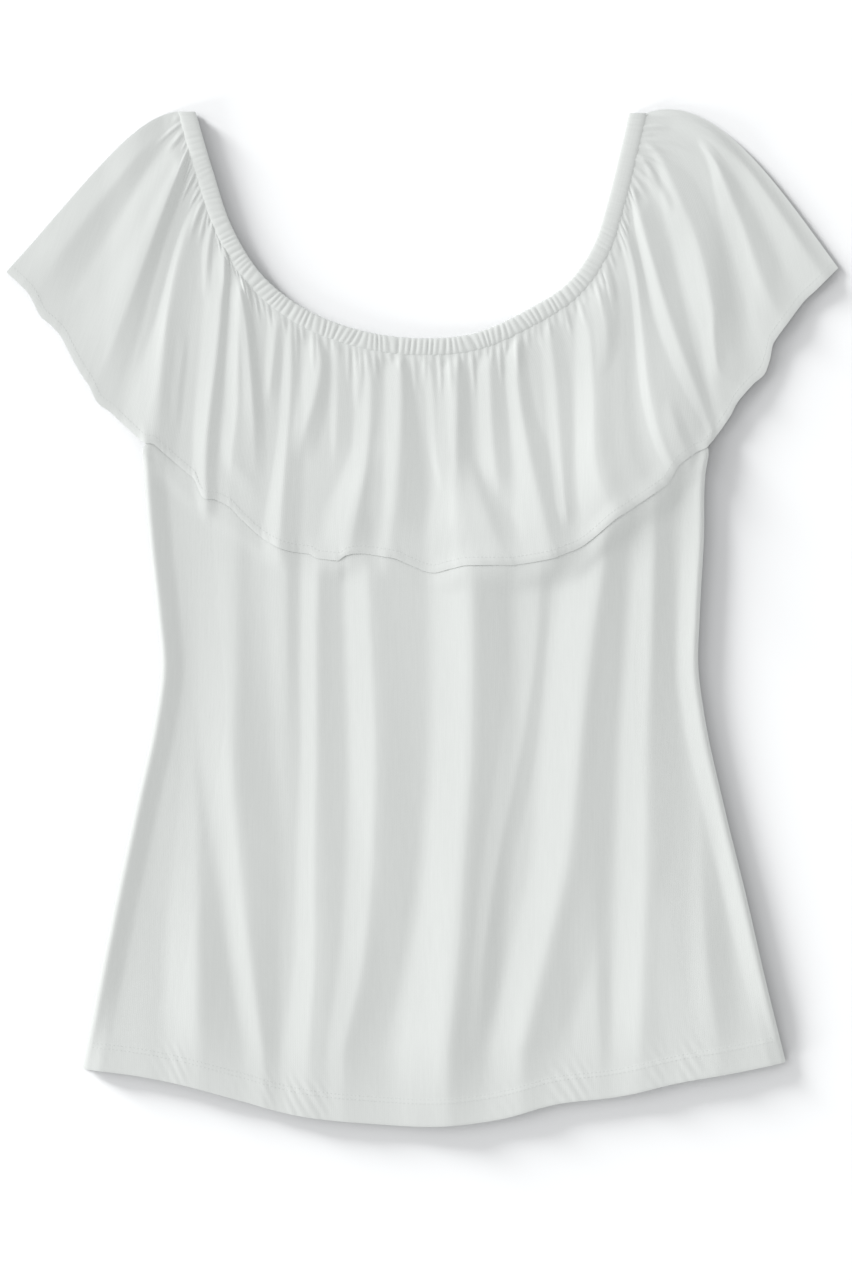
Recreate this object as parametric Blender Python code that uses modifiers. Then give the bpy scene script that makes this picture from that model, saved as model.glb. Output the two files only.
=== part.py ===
"""A white knit top with an elastic neckline and a deep gathered ruffle, laid flat on a table.

The top lies face up in the XY plane, its neck towards +Y and the table at z = 0. The origin is
the middle of its footprint. Four sheets of cloth lie on each other: back ruffle, back body,
front body, front ruffle. A casing with elastic in it edges the neckline, front and back.

Lengths in the tables and in the functions are millimetres. The meshes are made in metres.
"""

import bmesh
import bpy
import numpy as np

METRES_PER_MM = 0.001

# Wall of every cloth sheet, the gap between sheets, and one sheet with its gap
CLOTH = 1.1
GAP = 0.3
LAYER = CLOTH + GAP
# Room in the plane at a seam: the gap, and what the chords of two curved edges differ by
FRONT_SEAM_ROOM = 0.6
BACK_SEAM_ROOM = 0.75

# Casing: a flat tube of cloth round a 10 mm elastic, ruched into small gathers
CASING_WIDTH = 13.0
CASING_THICKNESS = 2 * CLOTH + GAP
CASING_CROWN = 0.5
CASING_GROOVE = 0.9
CASING_GATHERS = 116
BACK_CASING_COLUMNS = 72
BACK_CASING_INSET = 1.0

# Neck edge of the casing from the left shoulder fold down and up to the right one, and the share of it
# at each end along which the casing's end turns level
NECKLINE = [
    (-168, 373), (-155, 329), (-141, 288), (-119, 253), (-91, 230), (-54, 214), (1, 206),
    (35, 209), (75, 226), (109, 249), (126, 275), (136, 306), (145, 342), (152, 372),
]
LEVEL_END = 0.04

# One row for each main fold of the ruffle, left to right, with the shoulder folds as first and last.
# seat: share of the neckline where the crest starts. third, two_thirds, foot: where the crest runs,
# the foot being on the ruffle's hem. rise_mid, rise_foot: crest over trough. trough: where the trough
# lies on the way to the next crest. gathers: small gathers between this crest and the next.
RUFFLE_COLUMNS = ("seat", "third", "two_thirds", "foot", "rise_mid", "rise_foot", "trough", "gathers")
RUFFLE_FOLDS = [
    (0.000, (-217, 354), (-260, 309), (-307, 256), 0.0, 0.0, 0.50, 0),
    (0.012, (-212, 338), (-250, 294), (-291, 242), 5.5, 5.0, 0.60, 2),
    (0.046, (-194, 292), (-217, 233), (-246, 169), 6.5, 6.5, 0.45, 2),
    (0.118, (-183, 257), (-192, 186), (-196, 120), 5.5, 6.0, 0.45, 2),
    (0.170, (-149, 221), (-157, 157), (-161, 90), 5.0, 6.0, 0.55, 1),
    (0.208, (-135, 205), (-139, 142), (-144, 79), 5.5, 5.0, 0.35, 3),
    (0.321, (-98, 166), (-101, 109), (-104, 52), 6.5, 6.5, 0.35, 5),
    (0.436, (-39, 147), (-44, 96), (-53, 45), 7.0, 8.0, 0.45, 2),
    (0.480, (-16, 143), (-19, 92), (-23, 41), 5.5, 4.5, 0.45, 5),
    (0.554, (25, 142), (25, 90), (32, 36), 7.0, 8.0, 0.40, 4),
    (0.638, (73, 152), (84, 96), (95, 43), 6.0, 7.0, 0.50, 2),
    (0.686, (99, 161), (104, 104), (111, 47), 5.5, 5.5, 0.45, 2),
    (0.738, (127, 181), (131, 124), (147, 76), 7.0, 8.0, 0.50, 3),
    (0.847, (160, 231), (166, 166), (187, 105), 5.5, 5.5, 0.50, 1),
    (0.895, (173, 258), (195, 194), (214, 132), 5.5, 5.5, 0.45, 2),
    (0.934, (195, 292), (214, 223), (235, 162), 6.5, 6.5, 0.45, 1),
    (0.975, (218, 331), (243, 272), (269, 214), 6.5, 7.0, 0.60, 1),
    (0.990, (218, 350), (256, 301), (292, 245), 1.5, 4.0, 0.50, 0),
    (1.000, (215, 364), (263, 317), (307, 258), 0.0, 0.0, 0.50, 0),
]
GATHER_RISE = 1.6
GATHER_REACH = 0.22
# A trough's hem lies this share of the ruffle's depth higher than a crest's
HEM_SCALLOP = 0.018

# Where the ruffle's wings leave the body and sink from the body's sheets to the back ruffle
LEFT_WING = (-238, -208)
RIGHT_WING = (240, 212)
# The front ruffle lies this much looser on the body at its hem than at the casing
HEM_SLACK = 0.9

# Side seams of the body from underarm to hem: y, left x, right x
BODY_SECTIONS = [
    (135, -207, 214), (112, -206, 209), (57, -202, 207), (1, -196, 204), (-38, -193, 203),
    (-70, -197, 207), (-140, -212, 222), (-205, -226, 238), (-270, -239, 253), (-334, -251, 269),
]
HEMLINE = [
    (-251, -334), (-217, -338), (-180, -345), (-135, -357), (-98, -367), (-39, -374), (13, -376),
    (57, -371), (98, -360), (146, -354), (190, -344), (235, -336), (269, -329),
]

# Armholes run from the underarm up to the casing, which the body meets between these two shares
ARMHOLE_SHARES = (0.12, 0.88)
LEFT_ARMHOLE = [(-206.5, 124), (-186, 165), (-172, 225)]
RIGHT_ARMHOLE = [(166, 228), (186, 165), (210.5, 124)]
ARMHOLE_SPAN = 0.12

# One row for each long fold of the front body. crest: its x where y is each of FOLD_LEVELS, rise: its
# height there, left and right: widths of its two flanks at the ruffle's hem and at the body's hem.
FOLD_LEVELS = (40, -84, -209, -343)
BODY_FOLDS = [
    ((-139, -143, -167, -165), (3.5, 4.0, 5.0, 5.5), (37, 28), (45, 16)),
    ((-146, -139, -128, -111), (0.0, 0.5, 4.0, 5.0), (22, 14), (16, 18)),
    ((-75, -75, -76, -92), (6.5, 6.0, 5.0, 4.0), (14, 20), (15, 40)),
    ((-38, -36, -43, -43), (6.5, 6.5, 3.0, 0.5), (16, 18), (42, 40)),
    ((38, 36, 29, 7), (8.0, 8.5, 8.5, 7.0), (36, 46), (22, 28)),
    ((79, 66, 53, 42), (2.5, 2.0, 0.8, 0.0), (16, 14), (14, 12)),
    ((129, 118, 96, 63), (7.5, 8.0, 8.0, 6.5), (36, 18), (24, 26)),
    ((168, 164, 168, 190), (5.0, 5.0, 5.0, 5.5), (24, 58), (24, 26)),
]
# The cloth rolls over at each side seam: crest and trough measured in from the seam
ROLL_CREST = 7.0
ROLL_TROUGH = 21.0
ROLL_RISE = 4.0
# The ruffle presses the folds down: they grow from this far above its hem to this far below it
FOLD_START = 30.0
FOLD_FULL = -55.0

# The body lies one sheet higher where the back ruffle is under it, until just past the ruffle's hem
YOKE_OVERHANG = 9.0
YOKE_STEP = 12.0
BACK_RUFFLE_INSET = 0.012

# Grid of each solid
RUFFLE_ROWS = (0, 0.05, 0.11, 0.18, 0.28, 0.4, 0.54, 0.7, 0.85, 1)
RUFFLE_FEWEST_COLUMNS = 6
BACK_RUFFLE_ROWS = (0, 0.3, 0.65, 1)
BACK_RUFFLE_COLUMN = 9.0
BACK_RUFFLE_FEWEST_COLUMNS = 3
BODY_COLUMNS = 50
BODY_YOKE_ROWS = (0, 0.45, 0.8)
BODY_SKIRT_ROWS = (0, 0.04, 0.12, 0.22, 0.33, 0.44, 0.56, 0.68, 0.8, 0.9, 1)
BACK_BODY_COLUMNS = 38
BACK_YOKE_ROWS = (0, 0.5)
BACK_SKIRT_ROWS = (0, 0.04, 0.2, 0.36, 0.52, 0.68, 0.84, 1)
CURVE_STEPS = 24
SHARP_EDGE = 50.0

JERSEY_WHITE = (0.70, 0.73, 0.715, 1.0)
JERSEY_ROUGHNESS = 0.85


def ease(share):
    """0 to 1 with a level start and end."""
    share = np.clip(share, 0, 1)
    return share * share * (3 - 2 * share)


def smooth_curve(points, shares):
    """A smooth curve through the points, read at the given shares of each span and at its end."""
    points = np.array(points, float)
    chord = np.linalg.norm(np.diff(points, axis=0), axis=1)[:, None]
    slope = np.diff(points, axis=0) / chord
    inner = (slope[:-1] * chord[1:] + slope[1:] * chord[:-1]) / (chord[:-1] + chord[1:])
    tangent = np.vstack([slope[:1], inner, slope[-1:]])
    curve = []
    for i, span in enumerate(shares):
        f = np.array(span, float)[:, None]
        curve.append(
            (2 * f**3 - 3 * f**2 + 1) * points[i]
            + (f**3 - 2 * f**2 + f) * chord[i] * tangent[i]
            + (3 * f**2 - 2 * f**3) * points[i + 1]
            + (f**3 - f**2) * chord[i] * tangent[i + 1]
        )
    return np.vstack(curve + [points[-1:]])


def fine_curve(points):
    """A smooth curve through the points, fine enough to measure along."""
    steps = np.arange(CURVE_STEPS) / CURVE_STEPS
    return smooth_curve(points, [steps] * (len(points) - 1))


def at_shares(line, shares):
    """Points at these shares of a line's length."""
    run = np.concatenate([[0], np.cumsum(np.linalg.norm(np.diff(line, axis=0), axis=1))])
    wanted = np.asarray(shares, float) * run[-1]
    return np.stack([np.interp(wanted, run, line[:, axis]) for axis in range(2)], axis=-1)


NECK_EDGE = fine_curve(NECKLINE)
NECK_LENGTH = np.linalg.norm(np.diff(NECK_EDGE, axis=0), axis=1).sum()


def beside_neckline(shares, distance):
    """Points at shares of the neckline's length, moved out from the neck opening by a distance."""
    shares = np.asarray(shares, float)
    step = 1 / NECK_LENGTH
    ahead = at_shares(NECK_EDGE, np.clip(shares + step, 0, 1)) - at_shares(NECK_EDGE, np.clip(shares - step, 0, 1))
    slant = ease(np.minimum(shares, 1 - shares) / LEVEL_END)
    outward = np.stack([ahead[..., 1], -ahead[..., 0] * slant], axis=-1)
    outward /= np.linalg.norm(outward, axis=-1, keepdims=True)
    return at_shares(NECK_EDGE, shares) + outward * distance


def ruffle_column(name):
    """One column of the table of ruffle folds."""
    return np.array([fold[RUFFLE_COLUMNS.index(name)] for fold in RUFFLE_FOLDS], float)


RUFFLE_HEM = fine_curve(ruffle_column("foot"))


def ruffle_hem_y(x):
    return np.interp(x, RUFFLE_HEM[:, 0], RUFFLE_HEM[:, 1])


class RuffleGrid:
    """Points of a ruffle in columns across it and rows from the casing down to its hem."""

    def __init__(self, columns, rows):
        """columns holds how many there are from each main fold to the next."""
        self.rows = np.array(rows, float)[:, None]
        self.spans = [np.arange(count) / count for count in columns]
        last = len(columns) - 1
        self.fold = np.concatenate([np.full(count, i) for i, count in enumerate(columns)] + [[last]])
        self.part = np.concatenate(self.spans + [[1.0]])

    def across(self, values):
        """Values given for each main fold, spread over the columns."""
        return values[self.fold] * (1 - self.part) + values[self.fold + 1] * self.part

    def valley(self):
        """0 on a main crest and 1 in the trough between two, for each column."""
        trough = ruffle_column("trough")[self.fold]
        return np.where(self.part < trough, ease(self.part / trough), ease((1 - self.part) / (1 - trough)))

    def plan(self, seam_room, inset=0.0):
        """x and y of every point. inset shortens the ruffle by a share of its depth."""
        seats = beside_neckline(self.across(ruffle_column("seat")), CASING_WIDTH + seam_room)
        third, two_thirds, foot = [
            smooth_curve(ruffle_column(name), self.spans) for name in ("third", "two_thirds", "foot")
        ]
        v = (self.rows * (1 - HEM_SCALLOP * self.valley()) * (1 - inset))[..., None]
        return (
            -4.5 * (v - 1 / 3) * (v - 2 / 3) * (v - 1) * seats
            + 13.5 * v * (v - 2 / 3) * (v - 1) * third
            - 13.5 * v * (v - 1 / 3) * (v - 1) * two_thirds
            + 4.5 * v * (v - 1 / 3) * (v - 2 / 3) * foot
        )

    def fullness(self):
        """0 on the two shoulder folds, rising to 1 at the first main fold beside each."""
        inner = np.ones(len(RUFFLE_FOLDS))
        inner[[0, -1]] = 0
        return ease(self.across(inner))

    def relief(self):
        """Height of the main folds, and of the small gathers that run out below the casing."""
        rise_mid = self.across(ruffle_column("rise_mid"))
        rise_foot = self.across(ruffle_column("rise_foot"))
        rise = (rise_mid + (rise_foot - rise_mid) * ease(2 * self.rows - 1)) * ease(self.rows / 0.4)
        gathers = ruffle_column("gathers")[self.fold]
        ripple = 0.5 + 0.5 * np.cos(2 * np.pi * (gathers + 1) * self.part)
        fade = np.clip(1 - self.rows / GATHER_REACH, 0, 1)
        return rise * (1 - self.valley()) + GATHER_RISE * ripple * fade * self.fullness()


def side_seams(y):
    """x of the left and of the right side seam at these heights."""
    sections = np.array(BODY_SECTIONS, float)[::-1]
    left, right = fine_curve(sections[:, [0, 1]]), fine_curve(sections[:, [0, 2]])
    return np.interp(y, left[:, 0], left[:, 1]), np.interp(y, right[:, 0], right[:, 1])


def yoke_edge(columns):
    """The line across the body just below the ruffle's hem, from side seam to side seam."""
    left = side_seams(ruffle_hem_y(LEFT_ARMHOLE[0][0]) - YOKE_OVERHANG)[0]
    right = side_seams(ruffle_hem_y(RIGHT_ARMHOLE[-1][0]) - YOKE_OVERHANG)[1]
    x = np.linspace(left, right, columns + 1)
    return np.stack([x, ruffle_hem_y(x) - YOKE_OVERHANG], axis=-1)


def body_top(columns, seam_room):
    """The body's upper edge: left armhole, neckline beside the casing, right armhole."""
    seam = CASING_WIDTH + seam_room
    first, last = ARMHOLE_SHARES
    left = fine_curve(LEFT_ARMHOLE + [beside_neckline(first, seam)])
    right = fine_curve([beside_neckline(last, seam)] + RIGHT_ARMHOLE)
    side = round(ARMHOLE_SPAN * columns)
    shares = np.linspace(0, 1, side + 1)
    neck = beside_neckline(np.linspace(first, last, columns - 2 * side + 1), seam)
    return np.vstack([at_shares(left, shares)[:-1], neck, at_shares(right, shares)[1:]])


def body_plan(columns, yoke_rows, skirt_rows, seam_room):
    """x and y of every point of a body panel: yoke rows under the ruffle, then skirt rows to the hem."""
    top, middle = body_top(columns, seam_room), yoke_edge(columns)
    hem = at_shares(fine_curve(HEMLINE), np.linspace(0, 1, columns + 1))
    across = np.linspace(0, 1, columns + 1)
    rows = [top * (1 - row) + middle * row for row in yoke_rows]
    for row in skirt_rows:
        line = middle * (1 - row) + hem * row
        shift_left = side_seams(line[0, 1])[0] - line[0, 0]
        shift_right = side_seams(line[-1, 1])[1] - line[-1, 0]
        line[:, 0] += (1 - across) * shift_left + across * shift_right
        rows.append(line)
    return np.array(rows)


def body_folds(x, y):
    """Height of the front body's folds at each point."""
    levels = np.array(FOLD_LEVELS, float)[::-1]
    down = (levels[-1] - y) / (levels[-1] - levels[0])
    folds = np.zeros_like(x)
    for crest, rise, left, right in BODY_FOLDS:
        centre = np.interp(y, levels, crest[::-1])
        left_width = np.interp(down, (0, 1), left)
        right_width = np.interp(down, (0, 1), right)
        away = np.where(x < centre, (centre - x) / left_width, (x - centre) / right_width)
        folds += np.interp(y, levels, rise[::-1]) * ease(1 - away)
    left_seam, right_seam = side_seams(y)
    inward = np.minimum(x - left_seam, right_seam - x)
    roll = np.where(
        inward < ROLL_CREST, ease(inward / ROLL_CREST), ease((ROLL_TROUGH - inward) / (ROLL_TROUGH - ROLL_CREST))
    )
    above_hem = y - ruffle_hem_y(x)
    pressed = ease((FOLD_START - above_hem) / (FOLD_START - FOLD_FULL))
    return (folds * ease(inward / ROLL_TROUGH) + ROLL_RISE * roll) * pressed


def over_back_ruffle(x, y):
    """Height that the body's sheets gain where they lie on the back ruffle."""
    below_hem = ruffle_hem_y(x) - YOKE_OVERHANG - y
    return LAYER * ease(1 - below_hem / YOKE_STEP)


def on_body(x):
    """1 where the front ruffle lies on the body, 0 in the wings beside it."""
    left = (x - LEFT_WING[0]) / (LEFT_WING[1] - LEFT_WING[0])
    right = (x - RIGHT_WING[0]) / (RIGHT_WING[1] - RIGHT_WING[0])
    return ease(np.minimum(left, right))


def white_jersey():
    """Fine white viscose jersey."""
    material = bpy.data.materials.new("white_jersey")
    material.use_nodes = True
    shader = material.node_tree.nodes["Principled BSDF"]
    shader.inputs["Base Color"].default_value = JERSEY_WHITE
    shader.inputs["Roughness"].default_value = JERSEY_ROUGHNESS
    shader.inputs["Metallic"].default_value = 0.0
    return material


def add_piece(name, bm, material, collection):
    mesh = bpy.data.meshes.new(name)
    bm.to_mesh(mesh)
    bm.free()
    mesh.materials.append(material)
    mesh.shade_smooth()
    mesh.set_sharp_from_angle(angle=np.radians(SHARP_EDGE))
    piece = bpy.data.objects.new(name, mesh)
    collection.objects.link(piece)
    return piece


def cloth_panel(name, plan, height, material, collection):
    """A sheet of cloth whose underside follows plan and height, given row by row down the sheet."""
    rows, columns = height.shape
    bm = bmesh.new()
    bmesh.ops.create_grid(bm, x_segments=columns - 1, y_segments=rows - 1, size=1)
    for vertex in bm.verts:
        column = round((vertex.co.x + 1) / 2 * (columns - 1))
        row = round((1 - vertex.co.y) / 2 * (rows - 1))
        vertex.co = np.append(plan[row, column], height[row, column]) * METRES_PER_MM
    panel = add_piece(name, bm, material, collection)
    wall = panel.modifiers.new("wall", "SOLIDIFY")
    wall.thickness = CLOTH * METRES_PER_MM
    wall.offset = 1


def casing_tube(name, base, inset, columns, crown, groove, material, collection):
    """A ruched tube beside the neckline, lofted through rings that are crest and groove by turns."""
    shares = np.linspace(0, 1, columns + 1)
    neck, middle, seam = [
        beside_neckline(shares, distance) for distance in (inset, (inset + CASING_WIDTH) / 2, CASING_WIDTH)
    ]
    dip = np.where(np.arange(columns + 1) % 2, groove, 0)
    floor = np.full(columns + 1, base)
    shoulder = base + CASING_THICKNESS - crown - dip / 2
    top = base + CASING_THICKNESS + crown - dip
    profile = [(neck, floor), (neck, shoulder), (middle, top), (seam, shoulder), (seam, floor)]
    bm = bmesh.new()
    rings = []
    for i in range(columns + 1):
        points = [np.append(plan[i], height[i]) * METRES_PER_MM for plan, height in profile]
        rings.append([bm.verts.new(point) for point in points])
    for ring, following in zip(rings, rings[1:]):
        for corner in range(len(profile)):
            after = (corner + 1) % len(profile)
            bm.faces.new((ring[corner], ring[after], following[after], following[corner]))
    bm.faces.new(rings[0])
    bm.faces.new(rings[-1])
    bmesh.ops.recalc_face_normals(bm, faces=bm.faces)
    add_piece(name, bm, material, collection)


def front_ruffle(material, collection):
    """The gathered ruffle over the front body and, in its two wings, over the back ruffle."""
    gathers = ruffle_column("gathers")[:-1].astype(int)
    ruffle = RuffleGrid([max(RUFFLE_FEWEST_COLUMNS, 2 * (count + 1)) for count in gathers], RUFFLE_ROWS)
    plan = ruffle.plan(FRONT_SEAM_ROOM)
    x, y = plan[..., 0], plan[..., 1]
    lift = on_body(x) * (2 * LAYER + body_folds(x, y) + HEM_SLACK * ruffle.rows)
    height = LAYER + lift * ruffle.fullness() + ruffle.relief()
    cloth_panel("front_ruffle", plan, height, material, collection)


def back_ruffle(material, collection):
    """The back's ruffle, flat on the table and just inside the outline of the front one."""
    spans = np.diff(ruffle_column("seat")) * NECK_LENGTH
    columns = [max(BACK_RUFFLE_FEWEST_COLUMNS, round(span / BACK_RUFFLE_COLUMN)) for span in spans]
    ruffle = RuffleGrid(columns, BACK_RUFFLE_ROWS)
    plan = ruffle.plan(BACK_SEAM_ROOM, BACK_RUFFLE_INSET)
    cloth_panel("back_ruffle", plan, np.zeros(plan.shape[:2]), material, collection)


def front_body(material, collection):
    plan = body_plan(BODY_COLUMNS, BODY_YOKE_ROWS, BODY_SKIRT_ROWS, FRONT_SEAM_ROOM)
    x, y = plan[..., 0], plan[..., 1]
    cloth_panel("front_body", plan, LAYER + over_back_ruffle(x, y) + body_folds(x, y), material, collection)


def back_body(material, collection):
    plan = body_plan(BACK_BODY_COLUMNS, BACK_YOKE_ROWS, BACK_SKIRT_ROWS, BACK_SEAM_ROOM)
    cloth_panel("back_body", plan, over_back_ruffle(plan[..., 0], plan[..., 1]), material, collection)


def casings(material, collection):
    """The two halves of the neck casing, the front one lying on the back one."""
    casing_tube("back_casing", 0.0, BACK_CASING_INSET, BACK_CASING_COLUMNS, 0.0, 0.0, material, collection)
    casing_tube("front_casing", CASING_THICKNESS + GAP, 0.0, 2 * CASING_GATHERS, CASING_CROWN, CASING_GROOVE,
                material, collection)


def build():
    for old in list(bpy.data.objects):
        bpy.data.objects.remove(old)
    collection = bpy.data.collections.new("ruffle_top")
    bpy.context.scene.collection.children.link(collection)
    material = white_jersey()
    for make in (back_ruffle, back_body, front_body, front_ruffle, casings):
        make(material, collection)


build()
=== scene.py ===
"""The looks of a white knit top with an elastic neckline and a deep gathered ruffle, laid flat.

Each sheet of cloth is a thin shell in the place of its solid. Tables and functions are in
millimetres, in the frame's own axes, and the meshes are made in metres.
"""

import math

import bmesh
import bpy
import numpy as np
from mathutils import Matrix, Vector


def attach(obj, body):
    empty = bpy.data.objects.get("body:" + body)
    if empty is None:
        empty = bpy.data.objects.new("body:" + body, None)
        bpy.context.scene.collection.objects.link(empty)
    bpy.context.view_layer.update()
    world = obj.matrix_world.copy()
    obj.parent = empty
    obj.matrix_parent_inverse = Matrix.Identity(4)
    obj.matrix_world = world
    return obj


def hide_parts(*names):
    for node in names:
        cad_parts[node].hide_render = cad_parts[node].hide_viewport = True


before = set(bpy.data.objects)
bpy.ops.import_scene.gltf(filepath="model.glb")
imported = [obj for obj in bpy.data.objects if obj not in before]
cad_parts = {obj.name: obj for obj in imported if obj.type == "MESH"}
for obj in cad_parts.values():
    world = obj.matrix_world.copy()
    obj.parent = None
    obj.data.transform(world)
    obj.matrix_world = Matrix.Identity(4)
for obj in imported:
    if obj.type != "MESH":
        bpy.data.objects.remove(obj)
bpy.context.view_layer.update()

MM = 0.001

# Jersey with the fluff of its face, the share of it left at a hem's edge, and the least angle between
# faces that keeps the edge crisp
CLOTH = 0.6
EDGE_SHARE = 0.35
RIM_ANGLE = math.radians(50)
# One sheet with the air under it, and the room under a sheet that rests on another
LAYER = 1.4
REST = 0.15

# Casing: a flat tube of cloth ruched round a 10 mm elastic. The sheets are tucked under it and sewn
CASING_WIDTH = 13.0
CASING_THICKNESS = 2.5
FRONT_CASING_BASE = 2.8
CASING_GATHERS = 116
SEAM_TUCK = 0.9
SEAM_LINE = CASING_WIDTH - SEAM_TUCK

NECKLINE = [
    (-168, 373), (-155, 329), (-141, 288), (-119, 253), (-91, 230), (-54, 214), (1, 206),
    (35, 209), (75, 226), (109, 249), (126, 275), (136, 306), (145, 342), (152, 372),
]
# The casing's ends are cut level over this share of the neckline
LEVEL_END = 0.04

# Lines down the ruffle that give its plan: share of the neckline at the casing, then three points
RUFFLE_LINES = [
    (0.000, (-217, 354), (-260, 309), (-307, 256)),
    (0.012, (-212, 338), (-250, 294), (-291, 242)),
    (0.046, (-194, 292), (-217, 233), (-246, 169)),
    (0.118, (-183, 257), (-192, 186), (-196, 120)),
    (0.170, (-149, 221), (-157, 157), (-161, 90)),
    (0.208, (-135, 205), (-139, 142), (-144, 79)),
    (0.321, (-98, 166), (-101, 109), (-104, 52)),
    (0.436, (-39, 147), (-44, 96), (-53, 45)),
    (0.480, (-16, 143), (-19, 92), (-23, 41)),
    (0.554, (25, 142), (25, 90), (32, 36)),
    (0.638, (73, 152), (84, 96), (95, 43)),
    (0.686, (99, 161), (104, 104), (111, 47)),
    (0.738, (127, 181), (131, 124), (147, 76)),
    (0.847, (160, 231), (166, 166), (187, 105)),
    (0.895, (173, 258), (195, 194), (214, 132)),
    (0.934, (195, 292), (214, 223), (235, 162)),
    (0.975, (218, 331), (243, 272), (269, 214)),
    (0.990, (218, 350), (256, 301), (292, 245)),
    (1.000, (215, 364), (263, 317), (307, 258)),
]
# Distances across the ruffle are measured along it at this share of its depth
MEASURED_AT = 0.585
# Columns' pitch and rows of the front ruffle, then of the back one
RUFFLE_PITCH = 1.2
RUFFLE_ROWS = 79
BACK_RUFFLE_PITCH = 3.0
BACK_RUFFLE_ROWS = 41

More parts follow.
